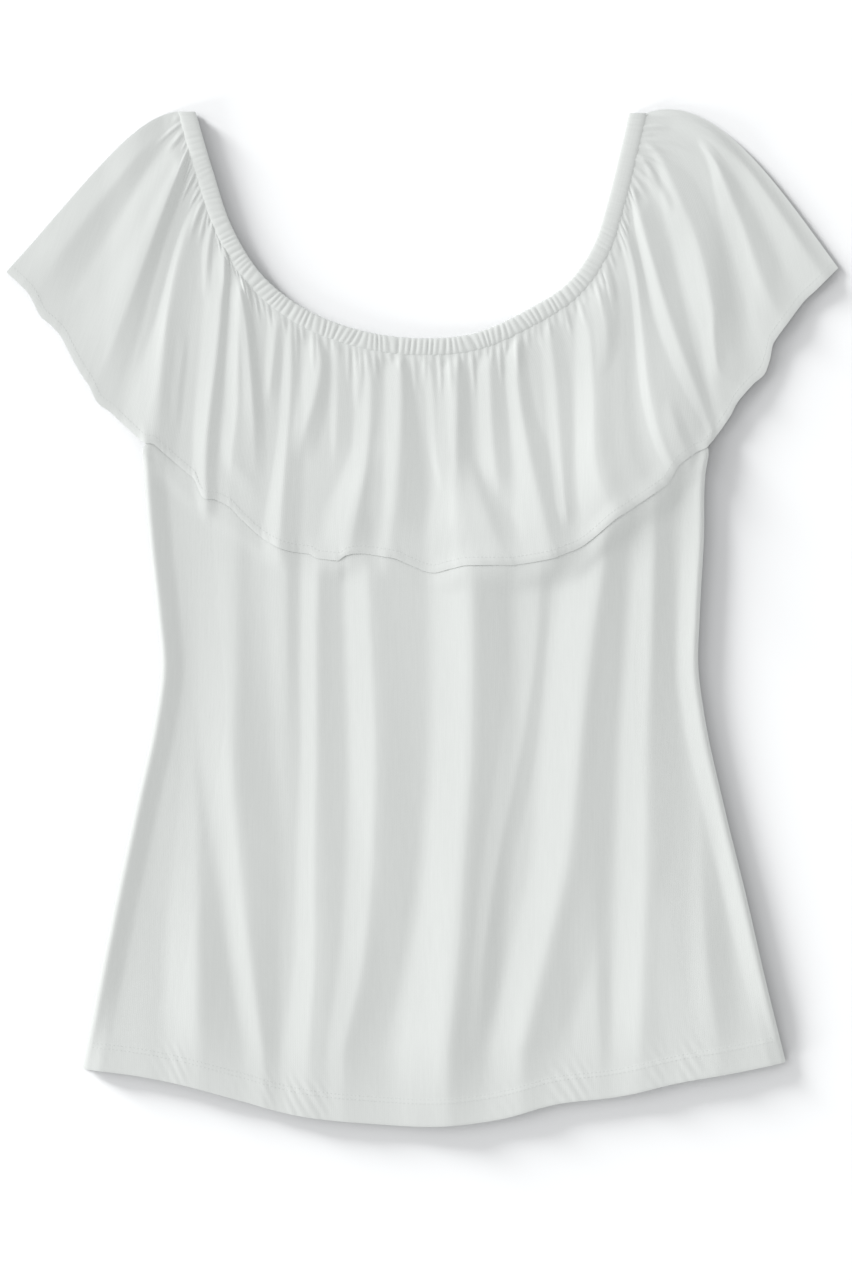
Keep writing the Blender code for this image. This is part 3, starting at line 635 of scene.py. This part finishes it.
def over_back_ruffle(x, y):
    """Height that the body's sheets gain where they lie on the back ruffle."""
    below_hem = ruffle_hem_y(x) - YOKE_OVERHANG - y
    return LAYER * ease(1 - below_hem / YOKE_STEP)


def on_body(x):
    """1 where the front ruffle lies on the body, 0 in the wings beside it."""
    left = (x - LEFT_WING[0]) / (LEFT_WING[1] - LEFT_WING[0])
    right = (x - RIGHT_WING[0]) / (RIGHT_WING[1] - RIGHT_WING[0])
    return ease(np.minimum(left, right))


def nested_hem():
    """x, y and height of the ruffle's folds along its hem."""
    columns, across = ruffle_columns(RUFFLE_PITCH)
    line = ruffle_plan(columns, ruffle_hemline(across)[None, :])[0]
    height = ruffle_relief(across, np.ones((1, 1)))[0] * (1 - RUFFLE_HEM_FLATTENING)
    return line[:, 0], line[:, 1], height


def right_swell(x, below):
    """Height of the swell along the right half of the ruffle's hem, at a distance below it."""
    start, full, ending, end = SWELL_X
    along = ease((x - start) / (full - start)) * ease((end - x) / (end - ending))
    fall = ease((SWELL_BELOW - below) / (SWELL_BELOW + SWELL_TURN))
    return SWELL * along * fall * ease(1 + below / SWELL_ABOVE)


def under_ruffle_hem(x, y):
    """Height that the front body gains where it follows the ruffle from below."""
    hem_x, hem_y, height = nested_hem()
    below = np.interp(x, hem_x, hem_y) - y
    fade = ease(1 - below / NEST_BELOW) * ease(1 + below / NEST_ABOVE)
    return (NESTED * np.interp(x, hem_x, height) * fade + right_swell(x, below)) * on_body(x)


def linear(hex_colour):
    """An sRGB hex colour as the shader's linear values."""
    channels = [int(hex_colour[i:i + 2], 16) / 255 for i in (0, 2, 4)]
    return [c / 12.92 if c <= 0.04045 else ((c + 0.055) / 1.055) ** 2.4 for c in channels] + [1.0]


def node(tree, kind, settings=None, values=None, links=None):
    """Adds a node with its settings, its input values and its links."""
    new = tree.nodes.new(kind)
    for key, value in (settings or {}).items():
        setattr(new, key, value)
    for key, value in (values or {}).items():
        new.inputs[key].default_value = value
    for key, socket in (links or {}).items():
        tree.links.new(socket, new.inputs[key])
    return new


# Viscose jersey is a fine plain knit: wales of small vees run down it. It is matte, with a faint sheen
# from its fibre ends, and faintly streaked where its yarn is uneven. The real wales are 0.7 mm wide, and
# these are drawn twice as coarse to show.
WALE = 1.4 * MM
COURSE = 1.1 * MM
VEE_SLANT = 0.9
KNIT_DEPTH = 0.12 * MM
STREAK_WIDTH = 2.0 * MM
STREAK_LENGTH = 22.2 * MM
JERSEY_WHITE = "E0E3E1"
JERSEY_SHADE = "D9DCDA"

def viscose_jersey():
    material = bpy.data.materials.new("viscose_jersey")
    material.use_nodes = True
    tree = material.node_tree
    shader = tree.nodes["Principled BSDF"]
    cloth = node(tree, "ShaderNodeUVMap", {"uv_map": "cloth"})
    split = node(tree, "ShaderNodeSeparateXYZ", links={"Vector": cloth.outputs["UV"]})
    wale = node(tree, "ShaderNodeMath", {"operation": "DIVIDE"}, {1: WALE}, {0: split.outputs["X"]})
    course = node(tree, "ShaderNodeMath", {"operation": "DIVIDE"}, {1: COURSE}, {0: split.outputs["Y"]})
    arm = node(tree, "ShaderNodeMath", {"operation": "PINGPONG"}, {1: 0.5}, {0: wale.outputs[0]})
    slant = node(tree, "ShaderNodeMath", {"operation": "MULTIPLY_ADD"}, {1: VEE_SLANT},
                 {0: arm.outputs[0], 2: course.outputs[0]})
    turn = node(tree, "ShaderNodeMath", {"operation": "MULTIPLY"}, {1: 2 * math.pi},
                {0: slant.outputs[0]})
    loop = node(tree, "ShaderNodeMath", {"operation": "SINE"}, links={0: turn.outputs[0]})
    loop_share = node(tree, "ShaderNodeMath", {"operation": "MULTIPLY_ADD"}, {1: 0.25, 2: 0.25},
                      {0: loop.outputs[0]})
    stitch = node(tree, "ShaderNodeMath", {"operation": "ADD"},
                  links={0: loop_share.outputs[0], 1: arm.outputs[0]})
    bump = node(tree, "ShaderNodeBump", values={"Strength": 0.5, "Distance": KNIT_DEPTH},
                links={"Height": stitch.outputs[0]})
    tree.links.new(bump.outputs["Normal"], shader.inputs["Normal"])
    stretched = node(tree, "ShaderNodeMapping", values={"Scale": (1 / STREAK_WIDTH, 1 / STREAK_LENGTH, 1)},
                     links={"Vector": cloth.outputs["UV"]})
    streaks = node(tree, "ShaderNodeTexNoise", values={"Scale": 1.0, "Detail": 3.0},
                   links={"Vector": stretched.outputs["Vector"]})
    tint = node(tree, "ShaderNodeMix", {"data_type": "RGBA"}, links={"Factor": streaks.outputs["Fac"]})
    dark, light = [socket for socket in tint.inputs if socket.type == "RGBA"]
    dark.default_value = linear(JERSEY_SHADE)
    light.default_value = linear(JERSEY_WHITE)
    tinted = next(socket for socket in tint.outputs if socket.type == "RGBA")
    tree.links.new(tinted, shader.inputs["Base Color"])
    shader.inputs["Roughness"].default_value = 0.85
    shader.inputs["Specular IOR Level"].default_value = 0.3
    shader.inputs["Sheen Weight"].default_value = 0.12
    shader.inputs["Sheen Roughness"].default_value = 0.6
    return material


def add_mesh(name, points, faces, material):
    """A smooth piece with these points, in millimetres."""
    mesh = bpy.data.meshes.new(name)
    mesh.from_pydata((points * MM).tolist(), [], faces)
    mesh.shade_smooth()
    mesh.materials.append(material)
    piece = bpy.data.objects.new(name, mesh)
    bpy.context.scene.collection.objects.link(piece)
    return piece


def add_surface(name, points, cloth, material, ring=False):
    """A piece through points in rows and columns, with the place on the cloth as its UVs, in metres."""
    rows, columns = points.shape[:2]
    index = np.arange(rows * columns).reshape(rows, columns)
    if ring:
        index = np.hstack([index, index[:, :1]])
    corners = [index[:-1, :-1], index[1:, :-1], index[1:, 1:], index[:-1, 1:]]
    faces = np.stack(corners, axis=-1).reshape(-1, 4).tolist()
    if ring:
        faces += [index[0, :-1].tolist(), index[-1, :-1][::-1].tolist()]
    piece = add_mesh(name, points.reshape(-1, 3), faces, material)
    layer = piece.data.uv_layers.new(name="cloth")
    corner_points = np.zeros(len(piece.data.loops), np.int32)
    piece.data.loops.foreach_get("vertex_index", corner_points)
    layer.data.foreach_set("uv", (cloth.reshape(-1, 2)[corner_points] * MM).ravel())
    return piece


def add_sheet(name, points, material):
    """A thin shell of cloth with its underside through the points, thinner at its lower edge."""
    across, down = run_over(points, 1), run_over(points, 0)
    cloth = np.stack([across - across[:, -1:] / 2, down], axis=-1)
    piece = add_surface(name, points, cloth, material)
    rows, columns = points.shape[:2]
    last_row = (rows - 1) * columns
    thickness = piece.vertex_groups.new(name="thickness")
    thickness.add(range(last_row), 1.0, "REPLACE")
    thickness.add(range(last_row, rows * columns), EDGE_SHARE, "REPLACE")
    shell = piece.modifiers.new("shell", "SOLIDIFY")
    shell.vertex_group = thickness.name
    shell.thickness = CLOTH * MM
    shell.offset = 1
    shaped = piece.evaluated_get(bpy.context.evaluated_depsgraph_get())
    solid = bpy.data.meshes.new_from_object(shaped)
    solid.set_sharp_from_angle(angle=RIM_ANGLE)
    piece.modifiers.clear()
    piece.data = solid
    return piece


def dress(piece, node_name):
    """The piece rides on the body and stands for its solid, whose part is hidden."""
    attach(piece, "root")
    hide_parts(node_name)


def soft_waves(x, y, seed, count, across, along, height):
    """Faint uneven waves that any laid cloth keeps: across and along are ranges of wavelength."""
    draw = np.random.default_rng(seed)
    total = np.zeros_like(x)
    for _ in range(count):
        kx = 2 * math.pi / draw.uniform(*across)
        ky = 2 * math.pi / draw.uniform(*along) * draw.choice((-1, 1))
        total += np.sin(kx * x + ky * y + draw.uniform(0, 2 * math.pi))
    return height * total / math.sqrt(count)


def hem_band(distance, depth):
    """Extra height of a turned hem at a distance from its edge, with the dip of its stitching."""
    dip = np.exp(-(((distance - depth) / STITCH_DIP_WIDTH) ** 2))
    return HEM_RISE * ease((depth + HEM_STEP - distance) / HEM_STEP) - STITCH_DIP * dip


def hem_pucker(along, distance, depth, slant, pitch, seed):
    """Small slanted waves that the stitching draws into a hem, fading just above it."""
    draw = np.random.default_rng(seed)
    wander = soft_waves(along, np.zeros_like(along), seed, *PUCKER_WANDER)
    phase = 2 * math.pi * (along + slant * distance) / pitch + wander
    strength = 0.5 + 0.5 * np.sin(along / draw.uniform(*PUCKER_RATE) + wander)
    near_middle = np.exp(-((distance / depth - PUCKER_MIDDLE) ** 2))
    return (0.5 + 0.5 * np.sin(phase)) * strength * near_middle


def stitch_row(name, line, material):
    """A row of thread stitches along a line of points on the cloth, joined in one mesh."""
    count = int(run_along(line)[-1] / STITCH_PITCH)
    shares = (np.arange(count) + 0.5) / count
    after = at_shares(line, np.clip(shares + STITCH_REACH / count, 0, 1))
    before = at_shares(line, np.clip(shares - STITCH_REACH / count, 0, 1))
    template = bmesh.new()
    bmesh.ops.create_uvsphere(template, u_segments=STITCH_SIDES, v_segments=STITCH_RINGS, radius=0.5)
    template.verts.index_update()
    corners = np.array([vert.co for vert in template.verts])
    faces = [[vert.index for vert in face.verts] for face in template.faces]
    template.free()
    length, width, height = STITCH_SIZE
    points, polygons = [], []
    for place, direction in zip(at_shares(line, shares), after - before):
        direction = direction / np.linalg.norm(direction)
        side = np.cross((0, 0, 1), direction)
        side /= np.linalg.norm(side)
        up = np.cross(direction, side)
        offset = len(points) * len(corners)
        points.append(place + corners[:, [2]] * length * direction + corners[:, [0]] * width * side
                      + corners[:, [1]] * height * up)
        polygons += [[corner + offset for corner in face] for face in faces]
    piece = add_mesh(name, np.vstack(points), polygons, material)
    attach(piece, "root")
    return piece


def row_line(points, distance, at):
    """The line on top of a sheet at a distance from its hem. distance: of each row and column."""
    line = [
        [np.interp(at, distance[::-1, column], points[::-1, column, axis]) for axis in range(3)]
        for column in range(points.shape[1])
    ]
    return np.array(line) + (0, 0, CLOTH + STITCH_LIFT)


def front_ruffle(material):
    columns, across = ruffle_columns(RUFFLE_PITCH)
    share = np.linspace(0, 1, RUFFLE_ROWS)[:, None]
    plan = ruffle_plan(columns, share * ruffle_hemline(across))
    x, y = plan[..., 0], plan[..., 1]
    distance = run_from_hem(plan)
    lift = on_body(x) * (LAYER + CLOTH + REST + body_folds(x, y))
    flattening = between(WING_HEM_FLATTENING, RUFFLE_HEM_FLATTENING, on_body(x))
    near_hem = ease((share - FLATTENING_FROM) / (1 - FLATTENING_FROM))
    pucker = hem_pucker(across + 0 * distance, distance, RUFFLE_HEM, *RUFFLE_PUCKERS)
    relief = ruffle_relief(across, share) * (1 - flattening * near_hem)
    relief += RUFFLE_HEM_SHARE * hem_band(distance, RUFFLE_HEM) + RUFFLE_PUCKER * pucker
    waves = soft_waves(across + 0 * share, RUFFLE_FALL * share, *RUFFLE_WAVES) * ease(share / WAVES_FADE)
    off_table = (1 - on_body(x)) * np.exp(-relief / WING_LIFT_FOLD) * ease(1 - distance / WING_LIFT_FROM)
    swell = right_swell(x, -distance) * on_body(x)
    rise = lift + relief + waves + WING_HEM_LIFT * off_table + swell
    z = LAYER + rise * ruffle_fullness(across)
    points = np.dstack([plan, np.maximum(z, LAYER)])
    piece = add_sheet("front_ruffle_cloth", points, material)
    dress(piece, "front_ruffle")
    line = row_line(points, distance, RUFFLE_HEM)
    stitches = stitch_row("front_ruffle_hem_stitches", line, material)


def back_ruffle(material):
    columns, across = ruffle_columns(BACK_RUFFLE_PITCH)
    share = np.linspace(0, 1, BACK_RUFFLE_ROWS)[:, None]
    plan = ruffle_plan(columns, share * ruffle_hemline(across) * (1 - BACK_RUFFLE_INSET))
    relief = BACK_RUFFLE_RELIEF * ruffle_relief(across, share) * ruffle_fullness(across)
    points = np.dstack([plan, relief])
    piece = add_sheet("back_ruffle_cloth", points, material)
    dress(piece, "back_ruffle")


# Columns and rows of the front body, with close rows at its hem, then of the back one
BODY_COLUMNS = 300
YOKE_ROWS = 36
SKIRT_ROWS = 118
HEM_ROWS = 24
HEM_ROWS_FROM = 0.93
BACK_COLUMNS = 150
BACK_YOKE_ROWS = 16
BACK_SKIRT_ROWS = 60


def front_body(material):
    skirt = np.linspace(0, HEM_ROWS_FROM, SKIRT_ROWS - HEM_ROWS)
    hem = np.linspace(HEM_ROWS_FROM, 1, HEM_ROWS + 1)[1:]
    plan = body_plan(BODY_COLUMNS, np.arange(YOKE_ROWS) / YOKE_ROWS, np.concatenate([skirt, hem]))
    x, y = plan[..., 0], plan[..., 1]
    distance = run_from_hem(plan)
    inward = inside_seams(x, y)
    free = ease((ruffle_hem_y(x) - FREE_BELOW - y) / FREE_FADE) * ease(inward / FREE_SIDE)
    puckered = sum(
        ease((x - start) / PUCKERED_FADE + 0.5) * ease((end - x) / PUCKERED_FADE + 0.5)
        for start, end in PUCKERED
    )
    pucker = between(PUCKERED_LEAST, 1, puckered) * hem_pucker(x, distance, BODY_HEM, *BODY_PUCKERS)
    fine = soft_waves(x, y, *BODY_WAVES) + BODY_PUCKER * pucker
    folds = body_folds(x, y) * (1 - HEM_FLATTENING * ease(1 - distance / HEM_FLAT_FROM))
    off_back = ease(1 - distance / HEM_LIFT_FROM) * np.exp(-folds / HEM_LIFT_FOLD)
    folds = folds + HEM_LIFT * off_back * ease(inward / HEM_LIFT_SIDE) + under_ruffle_hem(x, y)
    z = LAYER + over_back_ruffle(x, y) + folds + (fine + hem_band(distance, BODY_HEM)) * free
    dip_share = ease((SEAM_DIP_FROM - y) / (SEAM_DIP_FROM - SEAM_DIP_FULL))
    dip = SEAM_DIP * ease(1 - inward / SEAM_DIP_WIDTH) * dip_share
    points = np.dstack([plan, z - dip])
    piece = add_sheet("front_body_cloth", points, material)
    dress(piece, "front_body")
    for i in range(2):
        line = row_line(points, distance, BODY_HEM - i * TWIN_NEEDLE)
        stitch_row(f"front_hem_stitches_{i + 1}", line, material)


def back_body(material):
    yoke = np.arange(BACK_YOKE_ROWS) / BACK_YOKE_ROWS
    plan = body_plan(BACK_COLUMNS, yoke, np.linspace(0, 1, BACK_SKIRT_ROWS))
    x, y = plan[..., 0], plan[..., 1]
    z = over_back_ruffle(x, y) + BACK_BODY_RELIEF * body_folds(x, y)
    points = np.dstack([plan, z * ease(inside_seams(x, y) / BACK_BODY_EDGE)])
    piece = add_sheet("back_body_cloth", points, material)
    dress(piece, "back_body")


CASING_COLUMNS_PER_GATHER = 8
CASING_SIDES = 20
# Depth of the grooves between gathers, deep in front and pressed flat at the back
GROOVE = 1.15
BACK_GROOVE = 0.3
# Gathers wander along the casing and lean: seed, number of waves, wavelengths along and beside, height
GATHERS_WANDER = (31, 6, (18, 70), (500, 900), 0.32)
GATHERS_LEAN = (32, 5, (25, 90), (500, 900), 0.35)
# They differ in size by this share, at a rate that repeats only after many gathers
GATHERS_UNEVEN = 0.25
UNEVEN_RATE = 2.1
UNEVEN_STRAY = 3
# A groove narrows the tube by this share of its depth
GROOVE_NARROWS = 0.45
# At the shoulders the casing lies slack, its gathers with this share of their depth. They begin to
# deepen at one share of the neckline and are full after another
SHOULDER_GATHER = 0.3
SLACK_END = 0.08
SLACK_FADE = 0.24
# The tube's section is an oval with fuller sides: powers of its width and of its height
FULL_WIDTH = 0.75
FULL_HEIGHT = 0.9
LEAST_HALF_HEIGHT = 0.3
# Length of cloth ruched into each length of casing
RUCHING = 1.8


def fuller(wave, power):
    """A sine or cosine wave drawn out towards its ends."""
    return np.sign(wave) * np.abs(wave) ** power


def casing(name, node_name, base, groove, material):
    """A tube of cloth ruched round its elastic: uneven small gathers across it."""
    columns = CASING_GATHERS * CASING_COLUMNS_PER_GATHER
    share = np.linspace(0, 1, columns + 1)[:, None]
    turn = np.linspace(0, 2 * math.pi, CASING_SIDES, endpoint=False)[None, :] - math.pi / 2
    wide, tall = fuller(np.cos(turn), FULL_WIDTH), fuller(np.sin(turn), FULL_HEIGHT)
    length = share * NECK_LENGTH
    lean = soft_waves(length, 0 * length, *GATHERS_LEAN)
    phase = share * CASING_GATHERS + soft_waves(length, 0 * length, *GATHERS_WANDER) + lean * wide
    drawn_in = ease((np.minimum(share, 1 - share) - SLACK_END) / SLACK_FADE)
    wave = np.sin(UNEVEN_RATE * phase + UNEVEN_STRAY * lean)
    uneven = 1 - GATHERS_UNEVEN + GATHERS_UNEVEN * wave
    crest = np.abs(np.sin(math.pi * phase))
    fall = groove * uneven * between(SHOULDER_GATHER, 1, drawn_in) * (1 - crest)
    distance = CASING_WIDTH / 2 + (CASING_WIDTH / 2 - GROOVE_NARROWS * fall) * wide
    plan = np.stack([beside_neckline(share[:, 0], distance[:, k]) for k in range(CASING_SIDES)], axis=1)
    half_height = CASING_THICKNESS / 2 + np.where(tall > 0, 0.5 * groove - fall, 0) * np.abs(tall)
    z = base + CASING_THICKNESS / 2 + tall * np.maximum(half_height, LEAST_HALF_HEIGHT)
    around = np.cumsum(np.full((columns + 1, CASING_SIDES), 2 * CASING_WIDTH / CASING_SIDES), axis=1)
    cloth = np.stack([np.broadcast_to(RUCHING * length, around.shape), around], axis=-1)
    piece = add_surface(name, np.dstack([plan, z]), cloth, material, ring=True)
    bm = bmesh.new()
    bm.from_mesh(piece.data)
    bmesh.ops.recalc_face_normals(bm, faces=bm.faces)
    bm.to_mesh(piece.data)
    bm.free()
    dress(piece, node_name)


# The sweep is uncoated white paper, rolled smooth: matte, without a shine, and faintly cockled
FLOOR_SIZE = 24.0
FLOOR_DROP = 0.4 * MM
COCKLE_WIDTH = 27 * MM
COCKLE_DEPTH = 0.05 * MM
PAPER_WHITE = "CCCDCE"


def paper_floor():
    bpy.ops.mesh.primitive_plane_add(size=FLOOR_SIZE, location=(0, 0, -FLOOR_DROP))
    floor = bpy.context.object
    floor.name = "paper_floor"
    paper = bpy.data.materials.new("matte_paper")
    paper.use_nodes = True
    tree = paper.node_tree
    shader = tree.nodes["Principled BSDF"]
    cockle = node(tree, "ShaderNodeTexNoise", values={"Scale": FLOOR_SIZE / COCKLE_WIDTH, "Detail": 2.0})
    bump = node(tree, "ShaderNodeBump", values={"Strength": 0.03, "Distance": COCKLE_DEPTH},
                links={"Height": cockle.outputs["Fac"]})
    tree.links.new(bump.outputs["Normal"], shader.inputs["Normal"])
    shader.inputs["Base Color"].default_value = linear(PAPER_WHITE)
    shader.inputs["Roughness"].default_value = 1.0
    shader.inputs["Specular IOR Level"].default_value = 0.0
    floor.data.materials.append(paper)
    return floor


def sun(name, energy, angle, towards, elevation):
    """A soft sun. towards is where it shines in plan, elevation its height in degrees."""
    light = bpy.data.lights.new(name, "SUN")
    light.energy = energy
    light.angle = math.radians(angle)
    lamp = bpy.data.objects.new(name, light)
    bpy.context.scene.collection.objects.link(lamp)
    flat = Vector((towards[0], towards[1], 0)).normalized()
    shine = flat * math.cos(math.radians(elevation)) - Vector((0, 0, math.sin(math.radians(elevation))))
    lamp.rotation_euler = shine.to_track_quat("-Z", "Y").to_euler()
    return lamp


# Strengths of the key, of the light all round and of the two washes, and the washes' size and height
KEY_ENERGY = 2.05
AMBIENT = 0.735
WASH_ENERGY = 12.7
SIDE_WASH_ENERGY = 3.58
WASH_ANGLE = 15
WASH_ELEVATION = 8.5


def studio(floor):
    """A broad soft key low from the left, light all round, and two low washes that only the paper
    takes."""
    sun("key", KEY_ENERGY, angle=44, towards=(1, -0.25), elevation=20)
    paper = bpy.data.collections.new("paper_only")
    paper.objects.link(floor)
    washes = [
        sun("paper_wash", WASH_ENERGY, WASH_ANGLE, (0.80, -0.60), WASH_ELEVATION),
        sun("paper_side_wash", SIDE_WASH_ENERGY, WASH_ANGLE, (0.9, 0.43), WASH_ELEVATION),
    ]
    for wash in washes:
        wash.light_linking.receiver_collection = paper
    world = bpy.data.worlds.new("studio")
    world.use_nodes = True
    background = world.node_tree.nodes["Background"]
    background.inputs["Color"].default_value = (1, 1, 1, 1)
    background.inputs["Strength"].default_value = AMBIENT
    bpy.context.scene.world = world
    bpy.context.scene.view_settings.view_transform = "Standard"


CAMERA_HEIGHT = 2.4
# The height of what the picture shows, in metres, and the middle of it, in millimetres
VIEW_HEIGHT = 0.947
VIEW_MIDDLE = (2.2, -17.0)
SENSOR = 36.0


def camera():
    """Straight down over the top, as it was laid out, its neckline up in the picture."""
    data = bpy.data.cameras.new("camera")
    data.sensor_width = SENSOR
    data.lens = SENSOR * CAMERA_HEIGHT / VIEW_HEIGHT
    data.clip_end = 100
    eye = bpy.data.objects.new("camera", data)
    eye.location = (VIEW_MIDDLE[0] * MM, VIEW_MIDDLE[1] * MM, CAMERA_HEIGHT)
    bpy.context.scene.collection.objects.link(eye)
    bpy.context.scene.camera = eye


camera()
jersey = viscose_jersey()
front_ruffle(jersey)
back_ruffle(jersey)
front_body(jersey)
back_body(jersey)
casing("front_casing_cloth", "front_casing", FRONT_CASING_BASE, GROOVE, jersey)
casing("back_casing_cloth", "back_casing", 0.0, BACK_GROOVE, jersey)
studio(paper_floor())
